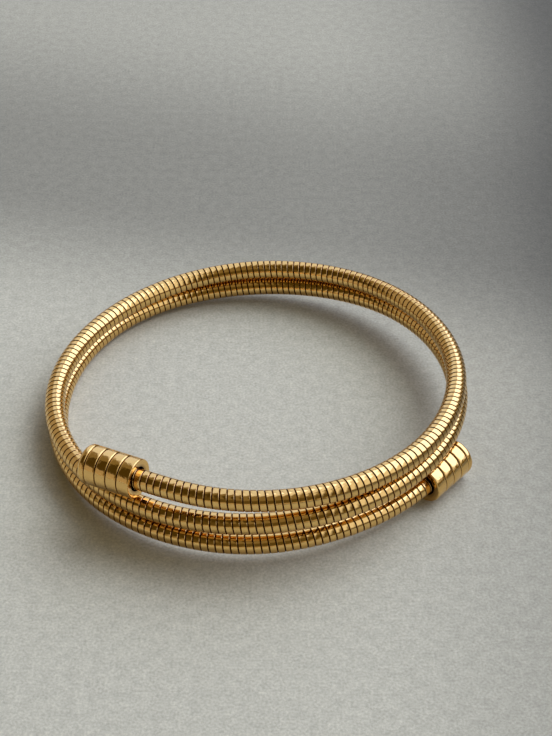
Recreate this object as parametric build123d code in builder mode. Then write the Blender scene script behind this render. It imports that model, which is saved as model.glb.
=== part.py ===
"""Spiral coil bracelet: one ribbed strand coiled round the wrist, with a grooved cap on each of its ends.

Lengths are in millimetres. The bracelet lies on the plane Z = 0 with the wrist's axis along +Z. Its front is
towards -Y, where three passes of the strand overlap, and two passes lie at the back.
"""

import math
import os
from typing import NamedTuple

from build123d import *

# Driving dimensions of the coil
opening_diameter = 58.8
strand_diameter = 3.12
pass_clearance = 0.05

# Driving dimensions of the strip that the strand is wound from
strip_pitch = 1.05
strip_groove_width = 0.26
strip_groove_depth = 0.12

# Driving dimensions of the caps
cap_diameter = 5.9
cap_length = 8.8
cap_corner_radius = 0.65
cap_end_dome = 0.12

# Driving dimensions of the turned bands on a cap
cap_mouth_band = 2.0
cap_end_band = 1.3
cap_groove_count = 4
cap_groove_width = 0.3
cap_groove_depth = 0.24
cap_band_crown = 0.02

# Driving dimensions of a cap's mouth
mouth_rim_width = 0.3
mouth_rim_radius = 0.16
mouth_dish_depth = 0.12
bore_clearance = 0.28
seat_depth = 3.0
seat_clearance = 0.05

# How each cap stands to the coil, in degrees: turned outwards from it, and dipping towards its closed end
cap_splay = 3.6
upper_cap_dip = 3.8
lower_cap_dip = 0.0


class Station(NamedTuple):
    """One place on the strand's route round the wrist."""

    turn: float  # degrees round the wrist from the front, anticlockwise seen from above
    out: float  # how far it stands out from the opening, in strand diameters
    layer: float  # how many passes of the strand lie under it
    lift: float  # how far the thicker caps raise it, in steps from the strand's radius to a cap's


ROUTE = (
    Station(-31.6, 0.07, 2.00, 2.25),
    Station(-12, 0.09, 2.00, 2.49),
    Station(15, 0.16, 2.00, 2.43),
    Station(45, 0.20, 2.00, 2.26),
    Station(90, 0.00, 1.75, 1.78),
    Station(135, 0.01, 1.40, 1.15),
    Station(180, 0.12, 1.10, 0.44),
    Station(225, 0.01, 1.00, 0.10),
    Station(270, 0.16, 1.00, 0.06),
    Station(315, 0.15, 1.00, 0.72),
    Station(360, 0.18, 1.00, 1.65),
    Station(405, 0.31, 1.00, 2.19),
    Station(450, 0.13, 0.75, 1.79),
    Station(495, 0.10, 0.40, 1.15),
    Station(540, 0.03, 0.10, 0.39),
    Station(585, 0.24, 0.00, 0.11),
    Station(630, 0.10, 0.00, 0.05),
    Station(675, 0.16, 0.00, 0.60),
    Station(720, 0.17, 0.00, 1.06),
    Station(750, 0.07, 0.00, 1.17),
    Station(772, 0.21, 0.00, 1.00),
)

# Sizes that follow from the driving dimensions
opening_radius = opening_diameter / 2
strand_radius = strand_diameter / 2
groove_floor_radius = strand_radius - strip_groove_depth
cap_radius = cap_diameter / 2
cap_step = cap_radius - strand_radius
layer_height = strand_diameter + pass_clearance
bore_radius = strand_radius + bore_clearance
bore_depth = seat_depth + seat_clearance


def towards(turn: float) -> Vector:
    """The level direction from the wrist's axis to a place round the coil."""
    angle = math.radians(turn)
    return Vector(math.sin(angle), -math.cos(angle), 0)


def station_point(station: Station) -> Vector:
    """The middle of the strand at a station."""
    reach = opening_radius + strand_radius + station.out * strand_diameter
    height = strand_radius + station.layer * layer_height + station.lift * cap_step
    return towards(station.turn) * reach + Vector(0, 0, height)


def cap_axis(turn: float, way: int, dip: float) -> Vector:
    """The direction from a cap's mouth to its closed end; way is +1 with the strand's turn and -1 against it."""
    along = towards(turn + way * (90 - cap_splay))
    slope = math.radians(dip)
    return along * math.cos(slope) - Vector(0, 0, math.sin(slope))


upper_mouth = station_point(ROUTE[0])
lower_mouth = station_point(ROUTE[-1])
upper_axis = cap_axis(ROUTE[0].turn, -1, upper_cap_dip)
lower_axis = cap_axis(ROUTE[-1].turn, 1, lower_cap_dip)

# The strand's route, from its seat in the upper cap to its seat in the lower cap
with BuildLine() as route:
    Line(upper_mouth + upper_axis * seat_depth, upper_mouth)
    Spline([station_point(station) for station in ROUTE], tangents=[-upper_axis, lower_axis], tangent_scalars=[1, 1])
    Line(lower_mouth, lower_mouth + lower_axis * seat_depth)
strand_line = route.wire()

rib_count = round(strand_line.length / strip_pitch)
rib_pitch = strand_line.length / rib_count


def strand_section(distance: float) -> Plane:
    """The plane square to the strand at a distance along it, with its x direction facing out from the wrist."""
    share = distance / strand_line.length
    middle = strand_line.position_at(share)
    return Plane(middle, x_dir=Vector(middle.X, middle.Y, 0), z_dir=strand_line.tangent_at(share))


# The strand: a rib for each turn of the strip, with a groove between neighbours
with BuildPart() as coil_strand:
    for rib in range(rib_count):
        rib_start = rib * rib_pitch
        with BuildSketch(strand_section(rib_start)):
            Circle(groove_floor_radius)
        for shoulder in (strip_groove_width / 2, rib_pitch - strip_groove_width / 2):
            with BuildSketch(strand_section(rib_start + shoulder)):
                Circle(strand_radius)
    with BuildSketch(strand_section(strand_line.length)):
        Circle(groove_floor_radius)
    loft(ruled=True)
coil_strand.part.label = "coil_strand"

# Sizes of the turned bands and of the closed end, measured from the mouth
groove_pitch = (cap_length - cap_mouth_band - cap_end_band) / (cap_groove_count - 1)
groove_places = [cap_mouth_band + number * groove_pitch for number in range(cap_groove_count)]
band_edge_radius = cap_radius - cap_band_crown
end_face_height = cap_length - cap_end_dome
end_face_radius = band_edge_radius - cap_corner_radius
corner_start = end_face_height - cap_corner_radius
dome_radius = (end_face_radius**2 + cap_end_dome**2) / (2 * cap_end_dome)
rim_start_radius = band_edge_radius - mouth_rim_radius
DIAGONAL = math.sqrt(0.5)


def cap_outline() -> None:
    """Draw half of a cap's section: x is the distance from its axis, and y the distance from its mouth."""
    Polyline(
        (0, bore_depth),
        (bore_radius, bore_depth),
        (bore_radius, mouth_dish_depth),
        (cap_radius - mouth_rim_width, 0),
        (rim_start_radius, 0),
    )
    rim_middle = (rim_start_radius + mouth_rim_radius * DIAGONAL, mouth_rim_radius * (1 - DIAGONAL))
    ThreePointArc((rim_start_radius, 0), rim_middle, (band_edge_radius, mouth_rim_radius))
    band_start = mouth_rim_radius
    for place in groove_places:
        groove_start = place - cap_groove_width / 2
        groove_end = place + cap_groove_width / 2
        crowned_band(band_start, groove_start)
        Polyline(
            (band_edge_radius, groove_start),
            (band_edge_radius - cap_groove_depth, place),
            (band_edge_radius, groove_end),
        )
        band_start = groove_end
    crowned_band(band_start, corner_start)
    corner_middle = (
        end_face_radius + cap_corner_radius * DIAGONAL,
        corner_start + cap_corner_radius * DIAGONAL,
    )
    ThreePointArc((band_edge_radius, corner_start), corner_middle, (end_face_radius, end_face_height))
    dome_side = end_face_radius / 2
    dome_middle = (dome_side, cap_length - dome_radius + math.sqrt(dome_radius**2 - dome_side**2))
    ThreePointArc((end_face_radius, end_face_height), dome_middle, (0, cap_length))
    Line((0, cap_length), (0, bore_depth))


def crowned_band(start: float, end: float) -> None:
    """Draw the slightly convex outside of one band between two places along a cap."""
    ThreePointArc((band_edge_radius, start), (cap_radius, (start + end) / 2), (band_edge_radius, end))


# The two caps: the same turned barrel, seated on each end of the strand
end_caps = {}
for name, mouth, axis in (
    ("upper_end_cap", upper_mouth, upper_axis),
    ("lower_end_cap", lower_mouth, lower_axis),
):
    side = axis.cross(Vector(0, 0, 1)).normalized()
    with BuildPart() as end_cap:
        with BuildSketch(Plane(mouth, x_dir=side, z_dir=side.cross(axis))):
            with BuildLine():
                cap_outline()
            make_face()
        revolve(axis=Axis(mouth, axis))
    end_cap.part.label = name
    end_caps[name] = end_cap.part

os.makedirs("parts", exist_ok=True)
export_step(coil_strand.part, "parts/coil_strand.step")
for name, end_cap_part in end_caps.items():
    export_step(end_cap_part, f"parts/{name}.step")
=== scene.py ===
"""Dress the spiral coil bracelet: a gold strip wound into one ribbed strand, coiled round the wrist, with a
turned cap on each of its ends.

Lengths are in metres and the frame is the CAD model's: the wrist's axis is +Z and the front is towards -Y.
"""

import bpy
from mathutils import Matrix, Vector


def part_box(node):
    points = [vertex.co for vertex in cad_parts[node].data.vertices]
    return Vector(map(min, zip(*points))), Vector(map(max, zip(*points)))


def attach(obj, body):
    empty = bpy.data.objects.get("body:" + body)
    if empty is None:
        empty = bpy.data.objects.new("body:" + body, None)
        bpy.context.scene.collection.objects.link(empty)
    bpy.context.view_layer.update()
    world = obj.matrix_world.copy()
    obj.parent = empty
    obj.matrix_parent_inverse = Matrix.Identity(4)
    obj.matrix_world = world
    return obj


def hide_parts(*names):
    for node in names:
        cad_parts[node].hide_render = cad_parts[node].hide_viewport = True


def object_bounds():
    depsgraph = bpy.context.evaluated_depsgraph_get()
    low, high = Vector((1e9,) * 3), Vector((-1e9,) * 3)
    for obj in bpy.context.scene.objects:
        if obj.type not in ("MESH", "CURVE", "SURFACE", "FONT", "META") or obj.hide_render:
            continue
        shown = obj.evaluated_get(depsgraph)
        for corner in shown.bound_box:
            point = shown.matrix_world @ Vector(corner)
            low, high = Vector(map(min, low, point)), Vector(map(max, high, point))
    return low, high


bl_info = {
    "name": "Spiral Coil Bracelet",
    "version": (1, 0, 0),
    "blender": (4, 5, 0),
    "location": "3D View > Sidebar > Bracelet",
    "description": "Winds the ribbed strand, turns its two end caps and sets the stage",
    "category": "Add Mesh",
}

import math
from typing import NamedTuple

import bmesh
import bpy
import numpy as np
from bpy.props import FloatProperty, FloatVectorProperty, IntProperty, PointerProperty
from bpy.types import Operator, Panel, PropertyGroup
from mathutils import Matrix, Vector
from mathutils.geometry import interpolate_bezier

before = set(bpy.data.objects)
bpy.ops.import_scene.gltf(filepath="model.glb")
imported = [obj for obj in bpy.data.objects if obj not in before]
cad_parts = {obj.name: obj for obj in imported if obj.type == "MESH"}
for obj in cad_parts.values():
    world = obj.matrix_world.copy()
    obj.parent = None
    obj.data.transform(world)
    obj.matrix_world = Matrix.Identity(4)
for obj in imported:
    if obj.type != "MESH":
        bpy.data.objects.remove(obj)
cad_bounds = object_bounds()

SEAT_TOLERANCE = 0.00005  # how far a piece's box may be from its CAD node's
STRIP_WELD_SHARE = 0.001  # how near the strip's points are welded, as a share of its pitch
CAP_WELD_SHARE = 0.0001  # how near a cap's points are welded, as a share of its length
CREASE_ANGLE = math.radians(35)  # the shading breaks over edges sharper than this
RIB_SHARES = (0, 0.25, 0.5, 0.75, 1)  # where a rib's section has its points, from one edge to the other
UNEVEN_SEED = 7  # gives the same chance leans in each run
UNEVEN_STEP = 0.13  # turns of the strip from one chance lean of the rib to the next
CROWN_SHARE = 0.7  # how much of a cap's band is rounded, the rest running straight to its edges
LONG_CURVE_STEPS = 8  # facets over a band's crown and over the closed end's corner
SMALL_CURVE_STEPS = 4  # facets over a groove's shoulder and over the mouth's rim
GROOVE_SHARE = "groove_share"  # the attribute that says how deep in a groove a point lies, and in a cap's mouth how much painted shade it carries
MOUTH_PAINTED_SHADE = 0.5  # how dark the painted shade in the bore and over the mouth's sunken face is, on the scale of the grooves' depth
MOTTLE_SWING = 0.27  # how far the mottling darkens and lightens the floor
GRAIN_SWING = 0.8  # how far the grain's brightness runs from its darkest to its lightest
GRAIN_RELIEF = 0.3  # how high the floor's grain stands beside its mottling
NODE_SPACING = 220  # between neighbouring shader nodes on the board


class Station(NamedTuple):
    """One place on the strand's route round the wrist."""

    turn: float  # degrees round the wrist from the front, anticlockwise seen from above
    out: float  # how far it stands out from the opening, in strand diameters
    layer: float  # how many passes of the strand lie under it
    lift: float  # how far the thicker caps raise it, in steps from the strand's radius to a cap's


ROUTE = (
    Station(-31.6, 0.07, 2.00, 2.25),
    Station(-12, 0.09, 2.00, 2.49),
    Station(15, 0.16, 2.00, 2.43),
    Station(45, 0.20, 2.00, 2.26),
    Station(90, 0.00, 1.75, 1.78),
    Station(135, 0.01, 1.40, 1.15),
    Station(180, 0.12, 1.10, 0.44),
    Station(225, 0.01, 1.00, 0.10),
    Station(270, 0.16, 1.00, 0.06),
    Station(315, 0.15, 1.00, 0.72),
    Station(360, 0.18, 1.00, 1.65),
    Station(405, 0.31, 1.00, 2.19),
    Station(450, 0.13, 0.75, 1.79),
    Station(495, 0.10, 0.40, 1.15),
    Station(540, 0.03, 0.10, 0.39),
    Station(585, 0.24, 0.00, 0.11),
    Station(630, 0.10, 0.00, 0.05),
    Station(675, 0.16, 0.00, 0.60),
    Station(720, 0.17, 0.00, 1.06),
    Station(750, 0.07, 0.00, 1.17),
    Station(772, 0.21, 0.00, 1.00),
)


class Patch(NamedTuple):
    """A soft-edged patch of the room round the bracelet, as the gold mirrors it."""

    turn: float  # degrees from straight behind the bracelet to its middle, clockwise seen from above
    half_width: float  # degrees from its middle to each side
    bottom: float  # degrees above the floor
    top: float  # degrees above the floor
    softness: float  # degrees over which its edges fade
    light: tuple


ROOM_LIGHT = (0.24, 0.19, 0.1)
HORIZON_LIGHT = (0.5, 0.49, 0.46)  # what the camera sees past the floor
STUDIO = {
    "ceiling": Patch(50, 60, 52, 84, 6, (0.94, 0.98, 1.15)),
    "dim_corner": Patch(-115, 42, 23, 75, 5, (0.07, 0.048, 0.01)),
    "dim_front": Patch(176, 40, 12, 44, 5, (0.11, 0.08, 0.025)),
    "left_wall": Patch(-55, 33, -60, 46, 4, (0.39, 0.34, 0.27)),
    "front_left_wall": Patch(-119, 13, -60, 24, 4, (0.44, 0.37, 0.29)),
    "front_wall": Patch(-160, 50, -60, 9, 4, (0.5, 0.43, 0.33)),
    "right_wall": Patch(90, 60, -60, 12, 4, (0.15, 0.11, 0.03)),
    "left_curtain": Patch(-9, 14, 4, 74, 6, (0.86, 0.94, 1.2)),
    "upper_curtain": Patch(-20, 13, 57, 84, 6, (0.8, 0.86, 1.08)),
    "right_curtain": Patch(116, 21, 11, 68, 7, (0.95, 0.97, 1.05)),
    "window": Patch(53, 43, 16, 64, 6, (2.1, 2.3, 3.3)),
}


class Shade(NamedTuple):
    """A painted shade on the floor: a slow change of its brightness across the stage."""

    right: float  # how far it runs to the right
    back: float  # how far it runs to the back
    start: float  # where it starts, in coil radii from the wrist's axis
    end: float  # where it ends
    gain: float  # the brightness past its end over the brightness before its start


# painted shade: the floor darkens to the right and in a band behind the bracelet, then lightens again past
# that band
FLOOR_SHADES = (
    Shade(1.0, 0.0, 0.3, 1.6, 0.7),
    Shade(1.0, 0.0, 1.2, 2.1, 0.37),
    Shade(0.25, 1.0, 0.4, 1.7, 0.5),
    Shade(0.25, 1.0, 2.2, 4.0, 1.6),
)


class GoldDetail(NamedTuple):
    """How one kind of gold looks close up."""

    fleck_scale: float  # how many flecks lie along a metre
    fleck_depth: float  # how high they stand
    tarnish_and_shade_start: float  # the share of a groove's depth where the tarnish and the painted shade start
    tarnish_and_shade_full: float  # the share of its depth where only tarnish and painted shade are left


# painted shade: both golds darken towards the bottom of their grooves, partly tarnish and partly shade
# painted into the colour
STRAND_DETAIL = GoldDetail(3000.0, 0.00001, 0.04, 0.4)
CAP_DETAIL = GoldDetail(2200.0, 0.00004, 0.22, 0.66)


class StrandSizes(PropertyGroup):
    """Sizes of the coil and of the strip it is wound from."""

    opening_diameter: FloatProperty(
        name="Opening", description="Width of the opening for the wrist", default=0.0588, unit="LENGTH"
    )
    strand_diameter: FloatProperty(
        name="Strand", description="Diameter over the ribs", default=0.00312, unit="LENGTH"
    )
    pass_clearance: FloatProperty(
        name="Gap between passes",
        description="Air between one pass of the strand and the next",
        default=0.00005,
        unit="LENGTH",
    )
    strip_pitch: FloatProperty(
        name="Strip pitch", description="From one rib to the next", default=0.00105, unit="LENGTH"
    )
    groove_width: FloatProperty(
        name="Groove width", description="Between two ribs, at their tops", default=0.00026, unit="LENGTH"
    )
    groove_depth: FloatProperty(
        name="Groove depth", description="Below the tops of the ribs", default=0.00012, unit="LENGTH"
    )
    rib_hollow: FloatProperty(
        name="Rib hollow",
        description="How far a rib's middle lies below its raised edges",
        default=0.000018,
        unit="LENGTH",
    )
    unevenness: FloatProperty(
        name="Unevenness",
        description="How far a rib's edges commonly sink below an even winding",
        default=0.000003,
        unit="LENGTH",
    )
    sides: IntProperty(name="Sides", description="Facets round the strand", default=36, min=8)


class CapSizes(PropertyGroup):
    """Sizes of a cap, and how each cap stands to the coil."""

    diameter: FloatProperty(name="Diameter", description="Over the bands", default=0.0059, unit="LENGTH")
    length: FloatProperty(
        name="Length", description="From mouth to closed end", default=0.0088, unit="LENGTH"
    )
    corner_radius: FloatProperty(
        name="Corner radius", description="Rounding of the closed end", default=0.00065, unit="LENGTH"
    )
    end_dome: FloatProperty(
        name="End dome", description="Rise of the closed end's middle", default=0.00012, unit="LENGTH"
    )
    mouth_band: FloatProperty(
        name="Mouth band", description="From the mouth to the first groove", default=0.002, unit="LENGTH"
    )
    end_band: FloatProperty(
        name="End band", description="From the last groove to the closed end", default=0.0013, unit="LENGTH"
    )
    groove_count: IntProperty(name="Grooves", description="Turned grooves round a cap", default=4, min=2)
    groove_width: FloatProperty(
        name="Groove width", description="Across a turned groove", default=0.0003, unit="LENGTH"
    )
    groove_depth: FloatProperty(
        name="Groove depth", description="Below the edges of the bands", default=0.00024, unit="LENGTH"
    )
    groove_shoulder: FloatProperty(
        name="Groove shoulder",
        description="Rounding beside a turned groove",
        default=0.00009,
        unit="LENGTH",
    )
    band_crown: FloatProperty(
        name="Band crown",
        description="Rise of a band's middle over its edges",
        default=0.00002,
        unit="LENGTH",
    )
    rim_width: FloatProperty(
        name="Rim width",
        description="From the dished face to the cap's side",
        default=0.0003,
        unit="LENGTH",
    )
    rim_radius: FloatProperty(
        name="Rim radius", description="Rounding of the mouth's rim", default=0.00016, unit="LENGTH"
    )
    dish_depth: FloatProperty(
        name="Dish depth",
        description="How far the mouth's face sinks to the bore",
        default=0.00012,
        unit="LENGTH",
    )
    bore_clearance: FloatProperty(
        name="Bore clearance",
        description="Air round the strand in the bore",
        default=0.00028,
        unit="LENGTH",
    )
    seat_depth: FloatProperty(
        name="Seat depth", description="How far the strand goes into the cap", default=0.003, unit="LENGTH"
    )
    seat_clearance: FloatProperty(
        name="Seat clearance", description="Air past the strand's end", default=0.00005, unit="LENGTH"
    )
    splay: FloatProperty(
        name="Splay",
        description="How far a cap turns outwards from the coil",
        default=math.radians(3.6),
        subtype="ANGLE",
    )
    upper_dip: FloatProperty(
        name="Upper dip",
        description="How far the upper cap dips towards its closed end",
        default=math.radians(3.8),
        subtype="ANGLE",
    )
    lower_dip: FloatProperty(
        name="Lower dip",
        description="How far the lower cap dips towards its closed end",
        default=0.0,
        subtype="ANGLE",
    )
    sides: IntProperty(name="Sides", description="Facets round a cap", default=96, min=16)


class GoldFinish(PropertyGroup):
    """The polished gold, and the tarnish and painted shade in its grooves."""

    gold: FloatVectorProperty(
        name="Gold",
        description="Colour of the polished gold",
        default=(0.86, 0.565, 0.21),
        subtype="COLOR",
    )
    deep_gold: FloatVectorProperty(
        name="Deep gold",
        description="Colour of its redder patches",
        default=(0.82, 0.52, 0.175),
        subtype="COLOR",
    )
    # painted shade: this near-black colour stands for tarnish and for the shade deep in the grooves and in
    # the caps' mouths
    tarnish_and_shade: FloatVectorProperty(
        name="Tarnish",
        description="Colour at the bottom of the grooves",
        default=(0.1, 0.03, 0.01),
        subtype="COLOR",
    )
    polish: FloatProperty(
        name="Polish",
        description="Roughness where the gold is brightest",
        default=0.07,
        min=0,
        max=1,
        subtype="FACTOR",
    )
    wear: FloatProperty(
        name="Wear",
        description="Roughness where the gold is rubbed",
        default=0.14,
        min=0,
        max=1,
        subtype="FACTOR",
    )


class StageLook(PropertyGroup):
    """The floor, the light and the camera."""

    floor_colour: FloatVectorProperty(
        name="Floor",
        description="Colour of the pale floor",
        default=(0.475, 0.453, 0.338),
        subtype="COLOR",
    )
    floor_radius: FloatProperty(
        name="Floor radius", description="Size of the floor", default=3.0, unit="LENGTH"
    )
    key_power: FloatProperty(
        name="Key light",
        description="Power of the large soft light",
        default=6.0,
        min=0,
        unit="POWER",
    )
    key_colour: FloatVectorProperty(
        name="Key colour",
        description="Colour of the large soft light",
        default=(0.92, 1.0, 1.15),
        subtype="COLOR",
    )
    key_place: FloatVectorProperty(
        name="Key place",
        description="Where the large soft light hangs",
        default=(0.52, 0.38, 0.86),
        subtype="TRANSLATION",
    )
    key_width: FloatProperty(
        name="Key width", description="Width of the large soft light", default=0.8, unit="LENGTH"
    )
    key_height: FloatProperty(
        name="Key height", description="Height of the large soft light", default=0.6, unit="LENGTH"
    )
    camera_lens: FloatProperty(
        name="Lens", description="Focal length", default=73.86, min=1, unit="CAMERA"
    )
    camera_place: FloatVectorProperty(
        name="Camera place",
        description="Where the camera stands",
        default=(0.00313, -0.1813, 0.1586),
        subtype="TRANSLATION",
    )
    camera_down: FloatProperty(
        name="Camera down",
        description="How far the camera looks down",
        default=math.radians(39.45),
        subtype="ANGLE",
    )
    camera_roll: FloatProperty(
        name="Camera roll",
        description="How far the camera leans",
        default=math.radians(-0.2),
        subtype="ANGLE",
    )


def towards(turn):
    """The level direction from the wrist's axis to a place round the coil."""
    angle = math.radians(turn)
    return Vector((math.sin(angle), -math.cos(angle), 0))


def station_point(station, strand, caps):
    """The middle of the strand at a station."""
    strand_radius = strand.strand_diameter / 2
    reach = strand.opening_diameter / 2 + strand_radius + station.out * strand.strand_diameter
    layers = station.layer * (strand.strand_diameter + strand.pass_clearance)
    height = strand_radius + layers + station.lift * (caps.diameter / 2 - strand_radius)
    return towards(station.turn) * reach + Vector((0, 0, height))


def cap_axis(turn, way, splay, dip):
    """The direction from a cap's mouth to its closed end; way is 1 with the strand's turn, or else -1."""
    along = towards(turn + way * (90 - math.degrees(splay)))
    return along * math.cos(dip) - Vector((0, 0, math.sin(dip)))


def cap_places(strand, caps):
    """The mouth and the axis of the upper cap and of the lower cap."""
    upper = station_point(ROUTE[0], strand, caps), cap_axis(ROUTE[0].turn, -1, caps.splay, caps.upper_dip)
    lower = station_point(ROUTE[-1], strand, caps), cap_axis(ROUTE[-1].turn, 1, caps.splay, caps.lower_dip)
    return upper, lower


def slopes_at(stations, start_slope, end_slope):
    """The slope of the smooth line through the stations at each of them, given its slope at both ends."""
    chords = np.linalg.norm(np.diff(stations, axis=0), axis=1)
    balance = np.eye(len(stations))
    pull = np.zeros_like(stations)
    pull[0], pull[-1] = start_slope, end_slope
    for place in range(1, len(stations) - 1):
        before, after = chords[place - 1], chords[place]
        balance[place, place - 1 : place + 2] = after, 2 * (before + after), before
        rise = (stations[place] - stations[place - 1]) * after / before
        rise += (stations[place + 1] - stations[place]) * before / after
        pull[place] = 3 * rise
    return np.linalg.solve(balance, pull), chords


def strand_line(strand, caps, steps=400):
    """Points close together along the strand's middle, from its seat in the upper cap to the lower one."""
    (upper_mouth, upper_axis), (lower_mouth, lower_axis) = cap_places(strand, caps)
    stations = np.array([station_point(station, strand, caps) for station in ROUTE])
    slopes, chords = slopes_at(stations, -upper_axis, lower_axis)
    points = [upper_mouth + upper_axis * caps.seat_depth]
    for place, chord in enumerate(chords):
        start, end = Vector(stations[place]), Vector(stations[place + 1])
        start_handle = start + Vector(slopes[place]) * chord / 3
        end_handle = end - Vector(slopes[place + 1]) * chord / 3
        points += interpolate_bezier(start, start_handle, end_handle, end, steps)[:-1]
    points += [lower_mouth, lower_mouth + lower_axis * caps.seat_depth]
    return np.array(points)


def wind_strip(strand, length):
    """A straight winding of the strip along +Z, cut square at both ends, with grooves between its turns."""
    rib_count = round(length / strand.strip_pitch)
    pitch = length / rib_count
    top = strand.strand_diameter / 2
    floor = top - strand.groove_depth
    half_groove = strand.groove_width / 2
    winding = bmesh.new()
    outline = [(floor, 0)]
    for share in RIB_SHARES:
        sunk = strand.rib_hollow * (1 - (2 * share - 1) ** 2)
        outline.append((top - sunk, half_groove + share * (pitch - strand.groove_width)))
    outline.append((floor, pitch))
    corners = [winding.verts.new((radius, 0, height)) for radius, height in outline]
    for pair in zip(corners, corners[1:]):
        winding.edges.new(pair)
    bmesh.ops.spin(
        winding,
        geom=winding.verts[:] + winding.edges[:],
        cent=(0, 0, 0),
        axis=(0, 0, 1),
        dvec=(0, 0, pitch / strand.sides),
        angle=math.tau,
        steps=strand.sides,
    )
    bmesh.ops.translate(winding, verts=winding.verts, vec=(0, 0, -pitch))
    turns = 1
    while turns < rib_count + 2:
        copy = bmesh.ops.duplicate(winding, geom=winding.verts[:] + winding.edges[:] + winding.faces[:])
        copied = [piece for piece in copy["geom"] if isinstance(piece, bmesh.types.BMVert)]
        bmesh.ops.translate(winding, verts=copied, vec=(0, 0, turns * pitch))
        turns *= 2
    bmesh.ops.remove_doubles(winding, verts=winding.verts, dist=pitch * STRIP_WELD_SHARE)
    for height, facing in ((0, -1), (length, 1)):
        bmesh.ops.bisect_plane(
            winding,
            geom=winding.verts[:] + winding.edges[:] + winding.faces[:],
            plane_co=(0, 0, height),
            plane_no=(0, 0, facing),
            clear_outer=True,
        )
    bmesh.ops.holes_fill(winding, edges=[edge for edge in winding.edges if edge.is_boundary])
    bmesh.ops.recalc_face_normals(winding, faces=winding.faces)
    mark_creases(winding)
    return winding, pitch


def uneven_ribs(places, strand, pitch):
    """How far each point sinks because the strip's edges aren't wound perfectly even."""
    angle = np.arctan2(places[:, 1], places[:, 0]) / math.tau
    turns = places[:, 2] / pitch - angle
    across = turns - np.floor(turns) - 0.5
    along = np.floor(turns) + angle
    dice = np.random.default_rng(UNEVEN_SEED)
    marks = np.arange(along.min() - 1, along.max() + 1, UNEVEN_STEP)
    lean = np.interp(along, marks, dice.normal(size=len(marks)))
    return np.abs(lean * across) * 2 * strand.unevenness


def bend_along(places, line):
    """Carry points beside the Z axis to the same places beside the line, X turned out from the wrist."""
    steps = np.linalg.norm(np.diff(line, axis=0), axis=1)
    marks = np.concatenate(([0], np.cumsum(steps)))
    headings = np.gradient(line, marks, axis=0)

    def read(values):
        return np.stack([np.interp(places[:, 2], marks, column) for column in values.T], axis=1)

    middle, heading = read(line), read(headings)
    heading /= np.linalg.norm(heading, axis=1, keepdims=True)
    outward = middle * (1, 1, 0)
    outward -= heading * np.sum(outward * heading, axis=1, keepdims=True)
    outward /= np.linalg.norm(outward, axis=1, keepdims=True)
    downward = np.cross(heading, outward)
    return middle + places[:, :1] * outward + places[:, 1:2] * downward


def check_seat(places, node):
    """Raise an error if a piece's points don't fill the box of the CAD node that it stands for."""
    for made, meant in zip((places.min(axis=0), places.max(axis=0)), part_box(node)):
        if np.abs(made - np.array(meant)).max() > SEAT_TOLERANCE:
            raise RuntimeError(f"{node}: a corner lies at {made}, and the CAD model has it at {meant}")


def mark_creases(form):
    """Keep the shading from running smoothly over the form's sharp edges."""
    for edge in form.edges:
        if edge.is_manifold and edge.calc_face_angle() > CREASE_ANGLE:
            edge.smooth = False


def piece_from(form, name):
    """A smooth-shaded object that holds a finished bmesh."""
    mesh = bpy.data.meshes.new(name)
    form.to_mesh(mesh)
    form.free()
    mesh.shade_smooth()
    piece = bpy.data.objects.new(name, mesh)
    bpy.context.scene.collection.objects.link(piece)
    return piece


def mark_grooves(piece, shares):
    """Keep at each point of a piece how deep in a groove it lies, from 0 at the top to 1 on its floor."""
    marks = piece.data.attributes.new(GROOVE_SHARE, "FLOAT", "POINT")
    marks.data.foreach_set("value", np.clip(shares, 0, 1).astype(np.float32))


def add_node(tree, kind, place, **sockets):
    """A shader node, laid out at a place on the board, with its named sockets set."""
    node = tree.nodes.new(kind)
    node.location = Vector(place) * NODE_SPACING
    for socket, value in sockets.items():
        node.inputs[socket.replace("_", " ")].default_value = value
    return node


def colour(values):
    """A colour with its alpha."""
    return (*values, 1)


def add_math(tree, operation, place, *values):
    """A maths node of one to three values, each a number or another node's output."""
    node = add_node(tree, "ShaderNodeMath", place)
    node.operation = operation
    for socket, value in zip(node.inputs, values):
        if isinstance(value, float):
            socket.default_value = value
        else:
            tree.links.new(value, socket)
    return node.outputs["Value"]


def add_step(tree, place, value, start, end):
    """A smooth step of a value from 0 at the start to 1 at the end."""
    node = add_node(tree, "ShaderNodeMapRange", place, From_Min=start, From_Max=end)
    node.interpolation_type = "SMOOTHSTEP"
    tree.links.new(value, node.inputs["Value"])
    return node.outputs["Result"]


def add_blend(tree, place, share, first, second):
    """A mix of two colours, each given or another node's output, by a share."""
    node = add_node(tree, "ShaderNodeMix", place)
    node.data_type = "RGBA"
    tree.links.new(share, node.inputs["Factor"])
    for name, value in (("A", first), ("B", second)):
        if isinstance(value, tuple):
            node.inputs[name].default_value = colour(value)
        else:
            tree.links.new(value, node.inputs[name])
    return node.outputs["Result"]


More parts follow.
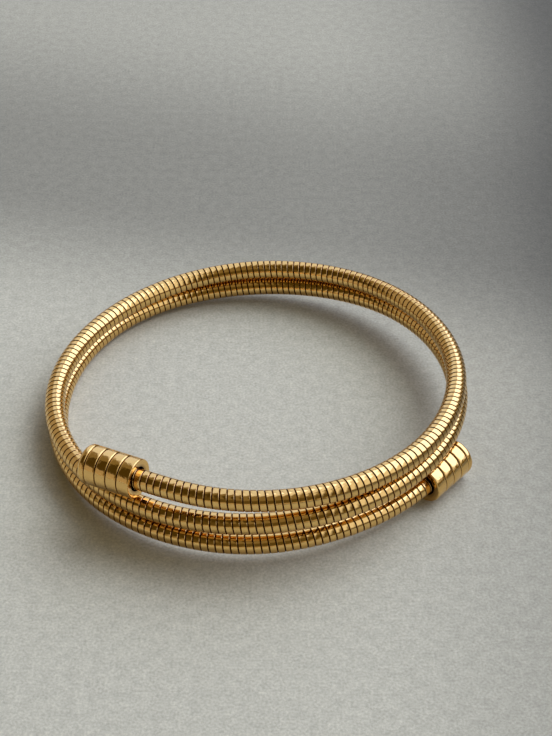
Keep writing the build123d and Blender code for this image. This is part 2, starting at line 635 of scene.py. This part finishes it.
def gold_material(name, finish, detail):
    """Polished gold with redder patches, rubbed patches, raised flecks, and tarnish with painted shade in
    its grooves.
    """
    material = bpy.data.materials.new(name)
    material.use_nodes = True
    tree = material.node_tree
    tree.nodes.clear()
    link = tree.links.new
    output = add_node(tree, "ShaderNodeOutputMaterial", (5, 0))
    shader = add_node(tree, "ShaderNodeBsdfPrincipled", (4, 0), Metallic=1.0)
    place = add_node(tree, "ShaderNodeTexCoord", (-2, 0)).outputs["Object"]
    patches = add_node(tree, "ShaderNodeTexNoise", (-1, 1), Scale=260.0, Detail=3.0, Roughness=0.55)
    link(place, patches.inputs["Vector"])
    tint = add_blend(tree, (1, 1), patches.outputs["Fac"], tuple(finish.gold), tuple(finish.deep_gold))
    # painted shade: the groove share darkens the gold towards the bottom of its grooves and in the caps'
    # mouths, beside real tarnish
    groove = add_node(tree, "ShaderNodeAttribute", (-1, 2))
    groove.attribute_name = GROOVE_SHARE
    groove_tarnish_and_shade = add_node(
        tree,
        "ShaderNodeMapRange",
        (1, 2),
        From_Min=detail.tarnish_and_shade_start,
        From_Max=detail.tarnish_and_shade_full,
    )
    link(groove.outputs["Fac"], groove_tarnish_and_shade.inputs["Value"])
    tarnished_and_shaded = add_blend(tree, (2, 1), groove_tarnish_and_shade.outputs["Result"], tint, tuple(finish.tarnish_and_shade))
    link(tarnished_and_shaded, shader.inputs["Base Color"])
    rubbed = add_node(tree, "ShaderNodeTexNoise", (-1, -1), Scale=900.0, Detail=4.0, Roughness=0.6)
    link(place, rubbed.inputs["Vector"])
    gloss = add_node(
        tree,
        "ShaderNodeMapRange",
        (1, -1),
        From_Min=0.35,
        From_Max=0.7,
        To_Min=finish.polish,
        To_Max=finish.wear,
    )
    link(rubbed.outputs["Fac"], gloss.inputs["Value"])
    link(gloss.outputs["Result"], shader.inputs["Roughness"])
    flecks = add_node(
        tree, "ShaderNodeTexNoise", (-1, -2), Scale=detail.fleck_scale, Detail=1.5, Roughness=0.5
    )
    link(place, flecks.inputs["Vector"])
    relief = add_node(tree, "ShaderNodeBump", (2, -2), Strength=0.8, Distance=detail.fleck_depth)
    link(flecks.outputs["Fac"], relief.inputs["Height"])
    link(relief.outputs["Normal"], shader.inputs["Normal"])
    link(shader.outputs["BSDF"], output.inputs["Surface"])
    return material


class BRACELET_OT_wind_strand(Operator):
    """Wind the gold strip into the ribbed strand and coil it round the wrist"""

    bl_idname = "bracelet.wind_strand"
    bl_label = "Wind the strand"
    bl_options = {"REGISTER", "UNDO"}

    def execute(self, context):
        strand = context.scene.bracelet_strand
        caps = context.scene.bracelet_caps
        line = strand_line(strand, caps)
        length = float(np.linalg.norm(np.diff(line, axis=0), axis=1).sum())
        winding, pitch = wind_strip(strand, length)
        piece = piece_from(winding, "ribbed_strand")
        places = np.zeros(len(piece.data.vertices) * 3)
        piece.data.vertices.foreach_get("co", places)
        places = places.reshape(-1, 3)
        reach = np.linalg.norm(places[:, :2], axis=1)
        # the groove share sets where the painted shade and tarnish of the grooves fall
        sunk = strand.strand_diameter / 2 - strand.rib_hollow - reach
        mark_grooves(piece, sunk / (strand.groove_depth - strand.rib_hollow))
        places[:, :2] *= (1 - uneven_ribs(places, strand, pitch) / reach)[:, None]
        places = bend_along(places, line)
        check_seat(places, "coil_strand")
        piece.data.vertices.foreach_set("co", places.ravel())
        piece.data.update()
        gold = gold_material("strand_gold", context.scene.bracelet_finish, STRAND_DETAIL)
        piece.data.materials.append(gold)
        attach(piece, "root")
        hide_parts("coil_strand")
        return {"FINISHED"}


def draw_cap_outline(form, caps, strand):
    """Draw half of a cap's section: X is the distance from its axis, and Z the distance from its mouth."""
    radius = caps.diameter / 2
    edge = radius - caps.band_crown
    bore = strand.strand_diameter / 2 + caps.bore_clearance
    bore_end = caps.seat_depth + caps.seat_clearance
    groove_pitch = (caps.length - caps.mouth_band - caps.end_band) / (caps.groove_count - 1)
    crown_corner = edge + caps.band_crown / (1 - CROWN_SHARE / 2)
    corners = [(0, bore_end), (bore, bore_end), (bore, caps.dish_depth), (radius - caps.rim_width, 0)]
    rim = len(corners)
    corners += [(edge, 0), (edge, caps.rim_radius)]
    crowns, shoulders = [], []
    band_start = caps.rim_radius
    for number in range(caps.groove_count):
        middle = caps.mouth_band + number * groove_pitch
        start, end = middle - caps.groove_width / 2, middle + caps.groove_width / 2
        crowns.append((len(corners), (start - band_start) / 2))
        corners.append((crown_corner, (band_start + start) / 2))
        shoulders += [len(corners), len(corners) + 2]
        corners += [(edge, start), (edge - caps.groove_depth, middle), (edge, end)]
        band_start = end
    end_height = caps.length - caps.end_dome
    closed_end = len(corners) + 1
    corners += [(edge, end_height - caps.corner_radius), (edge, end_height), (0, caps.length)]
    points = [form.verts.new((reach, 0, height)) for reach, height in corners]
    for pair in zip(points, points[1:]):
        form.edges.new(pair)
    rounding = [([points[i]], half * CROWN_SHARE, LONG_CURVE_STEPS) for i, half in crowns]
    rounding.append(([points[i] for i in shoulders], caps.groove_shoulder, SMALL_CURVE_STEPS))
    rounding.append(([points[rim]], caps.rim_radius, SMALL_CURVE_STEPS))
    rounding.append(([points[closed_end]], caps.corner_radius, LONG_CURVE_STEPS))
    return rounding


def turn_cap(caps, strand):
    """A cap turned about +Z, with its mouth at the origin."""
    form = bmesh.new()
    for corners, length, segments in draw_cap_outline(form, caps, strand):
        bmesh.ops.bevel(
            form,
            geom=corners,
            offset=length,
            offset_type="OFFSET",
            segments=segments,
            profile=0.5,
            affect="VERTICES",
            material=-1,
        )
    bmesh.ops.spin(
        form,
        geom=form.verts[:] + form.edges[:],
        cent=(0, 0, 0),
        axis=(0, 0, 1),
        angle=math.tau,
        steps=caps.sides,
        use_merge=True,
    )
    bmesh.ops.remove_doubles(form, verts=form.verts, dist=caps.length * CAP_WELD_SHARE)
    bmesh.ops.recalc_face_normals(form, faces=form.faces)
    mark_creases(form)
    return form


class BRACELET_OT_turn_caps(Operator):
    """Turn the two grooved caps and seat them on the ends of the strand"""

    bl_idname = "bracelet.turn_caps"
    bl_label = "Turn the caps"
    bl_options = {"REGISTER", "UNDO"}

    def execute(self, context):
        strand = context.scene.bracelet_strand
        caps = context.scene.bracelet_caps
        gold = gold_material("cap_gold", context.scene.bracelet_finish, CAP_DETAIL)
        upper, lower = cap_places(strand, caps)
        for name, node, (mouth, axis) in (
            ("upper_grooved_cap", "upper_end_cap", upper),
            ("lower_grooved_cap", "lower_end_cap", lower),
        ):
            form = turn_cap(caps, strand)
            places = np.array([point.co for point in form.verts])
            turned = Matrix.Translation(mouth) @ axis.to_track_quat("Z", "Y").to_matrix().to_4x4()
            bmesh.ops.transform(form, matrix=turned, verts=form.verts)
            check_seat(np.array([point.co for point in form.verts]), node)
            piece = piece_from(form, name)
            depth = caps.diameter / 2 - caps.band_crown - np.linalg.norm(places[:, :2], axis=1)
            on_side = (places[:, 2] > caps.mouth_band / 2) & (places[:, 2] < caps.length - caps.end_band)
            # painted shade: the mouth's sunken face and its bore are darkened to a fixed share, as if deep
            # in a groove
            in_mouth = (depth > caps.rim_width) & (places[:, 2] < caps.length / 2)
            shares = np.where(on_side, depth / caps.groove_depth, 0)
            mark_grooves(piece, np.where(in_mouth, MOUTH_PAINTED_SHADE, shares))
            piece.data.materials.append(gold)
            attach(piece, "root")
            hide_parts(node)
        return {"FINISHED"}


def floor_material(stage):
    """Pale matte board with faint mottling and fine grain, and slow painted shades across the stage."""
    material = bpy.data.materials.new("pale_board")
    material.use_nodes = True
    tree = material.node_tree
    link = tree.links.new
    shader = tree.nodes["Principled BSDF"]
    shader.inputs["Roughness"].default_value = 0.85
    place = add_node(tree, "ShaderNodeTexCoord", (-6, 0)).outputs["Object"]
    mottle = add_node(tree, "ShaderNodeTexNoise", (-5, 0), Scale=600.0, Detail=5.0, Roughness=0.65)
    link(place, mottle.inputs["Vector"])
    grain = add_node(tree, "ShaderNodeTexNoise", (-5, -2), Scale=2600.0, Detail=2.0, Roughness=0.6)
    link(place, grain.inputs["Vector"])
    swing = (1 - MOTTLE_SWING, 1 + MOTTLE_SWING)
    darker, lighter = (tuple(value * share for value in stage.floor_colour) for share in swing)
    board = add_blend(tree, (-4, 0), mottle.outputs["Fac"], darker, lighter)
    axes = add_node(tree, "ShaderNodeSeparateXYZ", (-5, 2))
    link(place, axes.inputs["Vector"])
    coil_radius = cad_bounds[1][0]
    grain_and_painted_shade = add_math(tree, "MULTIPLY_ADD", (-3, 1), grain.outputs["Fac"], GRAIN_SWING, 1 - GRAIN_SWING / 2)
    # painted shade: each shade darkens or lightens the board along its direction, on top of the grain
    for row, shade in enumerate(FLOOR_SHADES, 2):
        along_x = add_math(tree, "MULTIPLY", (-5, row), axes.outputs["X"], shade.right)
        along = add_math(tree, "MULTIPLY_ADD", (-4, row), axes.outputs["Y"], shade.back, along_x)
        reached = add_step(tree, (-3, row), along, shade.start * coil_radius, shade.end * coil_radius)
        gained = add_math(tree, "MULTIPLY_ADD", (-2, row), reached, shade.gain - 1, 1.0)
        grain_and_painted_shade = add_math(tree, "MULTIPLY", (-1, row), grain_and_painted_shade, gained)
    shaded = add_node(tree, "ShaderNodeVectorMath", (-1, 0))
    shaded.operation = "SCALE"
    link(board, shaded.inputs["Vector"])
    link(grain_and_painted_shade, shaded.inputs["Scale"])
    link(shaded.outputs["Vector"], shader.inputs["Base Color"])
    relief = add_node(tree, "ShaderNodeBump", (-1, -2), Strength=0.3, Distance=0.0002)
    height = add_math(
        tree, "MULTIPLY_ADD", (-2, -2), grain.outputs["Fac"], GRAIN_RELIEF, mottle.outputs["Fac"]
    )
    link(height, relief.inputs["Height"])
    link(relief.outputs["Normal"], shader.inputs["Normal"])
    return material


def patch_share(tree, row, turn, height, patch):
    """How much of a patch lies in a direction given as two angles: 1 inside it, and 0 past its edges."""
    fade = math.radians(patch.softness)
    half_width, bottom, top = (math.radians(value) for value in (patch.half_width, patch.bottom, patch.top))
    aside = add_math(tree, "SUBTRACT", (-7, row), turn, math.radians(patch.turn))
    nearness = add_math(tree, "COSINE", (-6, row), aside)
    across = add_step(tree, (-5, row), nearness, math.cos(half_width + fade), math.cos(half_width - fade))
    over = add_step(tree, (-5, row + 1), height, bottom - fade, bottom + fade)
    under = add_step(tree, (-4, row + 1), height, top + fade, top - fade)
    upright = add_math(tree, "MULTIPLY", (-3, row + 1), over, under)
    return add_math(tree, "MULTIPLY", (-3, row), across, upright)


def studio_world():
    """The room that the gold mirrors: its patches of light and shade, each laid over the ones before it."""
    world = bpy.data.worlds.new("studio")
    world.use_nodes = True
    tree = world.node_tree
    direction = add_node(tree, "ShaderNodeTexCoord", (-10, 0)).outputs["Generated"]
    axes = add_node(tree, "ShaderNodeSeparateXYZ", (-9, 0))
    tree.links.new(direction, axes.inputs["Vector"])
    turn = add_math(tree, "ARCTAN2", (-8, 1), axes.outputs["X"], axes.outputs["Y"])
    height = add_math(tree, "ARCSINE", (-8, -1), axes.outputs["Z"])
    light = ROOM_LIGHT
    for number, patch in enumerate(STUDIO.values()):
        share = patch_share(tree, 2 * number, turn, height, patch)
        light = add_blend(tree, (-2, 2 * number), share, light, patch.light)
    seen = add_node(tree, "ShaderNodeLightPath", (-2, -2)).outputs["Is Camera Ray"]
    shown = add_blend(tree, (-1, 0), seen, light, HORIZON_LIGHT)
    tree.links.new(shown, tree.nodes["Background"].inputs["Color"])
    return world


def add_key_light(stage):
    """The large soft light, aimed at the bracelet. The gold doesn't mirror it, only the room."""
    data = bpy.data.lights.new("key_light", "AREA")
    data.shape = "RECTANGLE"
    data.size = stage.key_width
    data.size_y = stage.key_height
    data.energy = stage.key_power
    data.color = stage.key_colour
    light = bpy.data.objects.new("key_light", data)
    aim = Vector(stage.key_place).to_track_quat("Z", "Y").to_matrix().to_4x4()
    light.matrix_world = Matrix.Translation(stage.key_place) @ aim
    light.visible_glossy = False
    bpy.context.scene.collection.objects.link(light)


class BRACELET_OT_set_stage(Operator):
    """Lay the floor, hang the light and place the camera"""

    bl_idname = "bracelet.set_stage"
    bl_label = "Set the stage"
    bl_options = {"REGISTER", "UNDO"}

    def execute(self, context):
        stage = context.scene.bracelet_stage
        form = bmesh.new()
        bmesh.ops.create_circle(form, cap_ends=True, segments=64, radius=stage.floor_radius)
        floor = piece_from(form, "floor")
        floor.data.materials.append(floor_material(stage))
        context.scene.world = studio_world()
        add_key_light(stage)
        camera_data = bpy.data.cameras.new("camera")
        camera_data.lens = stage.camera_lens
        camera_data.clip_start = 0.01
        camera = bpy.data.objects.new("camera", camera_data)
        tilt = Matrix.Rotation(math.pi / 2 - stage.camera_down, 4, "X")
        roll = Matrix.Rotation(stage.camera_roll, 4, "Z")
        camera.matrix_world = Matrix.Translation(stage.camera_place) @ tilt @ roll
        context.scene.collection.objects.link(camera)
        context.scene.camera = camera
        context.scene.view_settings.view_transform = "Standard"
        return {"FINISHED"}


class BRACELET_PT_maker(Panel):
    """The bracelet's pieces and their sizes, in the 3D view's sidebar"""

    bl_idname = "BRACELET_PT_maker"
    bl_label = "Spiral Coil Bracelet"
    bl_space_type = "VIEW_3D"
    bl_region_type = "UI"
    bl_category = "Bracelet"

    def draw(self, context):
        layout = self.layout
        for group, step in (
            (context.scene.bracelet_strand, BRACELET_OT_wind_strand),
            (context.scene.bracelet_caps, BRACELET_OT_turn_caps),
            (context.scene.bracelet_finish, None),
            (context.scene.bracelet_stage, BRACELET_OT_set_stage),
        ):
            box = layout.box()
            for name in group.__annotations__:
                box.prop(group, name)
            if step:
                box.operator(step.bl_idname)


CLASSES = (
    StrandSizes,
    CapSizes,
    GoldFinish,
    StageLook,
    BRACELET_OT_wind_strand,
    BRACELET_OT_turn_caps,
    BRACELET_OT_set_stage,
    BRACELET_PT_maker,
)


def register():
    """Make the properties, the operators and the panel known to Blender."""
    for made in CLASSES:
        bpy.utils.register_class(made)
    bpy.types.Scene.bracelet_strand = PointerProperty(type=StrandSizes)
    bpy.types.Scene.bracelet_caps = PointerProperty(type=CapSizes)
    bpy.types.Scene.bracelet_finish = PointerProperty(type=GoldFinish)
    bpy.types.Scene.bracelet_stage = PointerProperty(type=StageLook)


def unregister():
    """Take the properties, the operators and the panel away again."""
    del bpy.types.Scene.bracelet_stage
    del bpy.types.Scene.bracelet_finish
    del bpy.types.Scene.bracelet_caps
    del bpy.types.Scene.bracelet_strand
    for made in reversed(CLASSES):
        bpy.utils.unregister_class(made)


def main():
    """Make every piece and the stage."""
    register()
    bpy.ops.bracelet.wind_strand()
    bpy.ops.bracelet.turn_caps()
    bpy.ops.bracelet.set_stage()


if __name__ == "__main__":
    main()
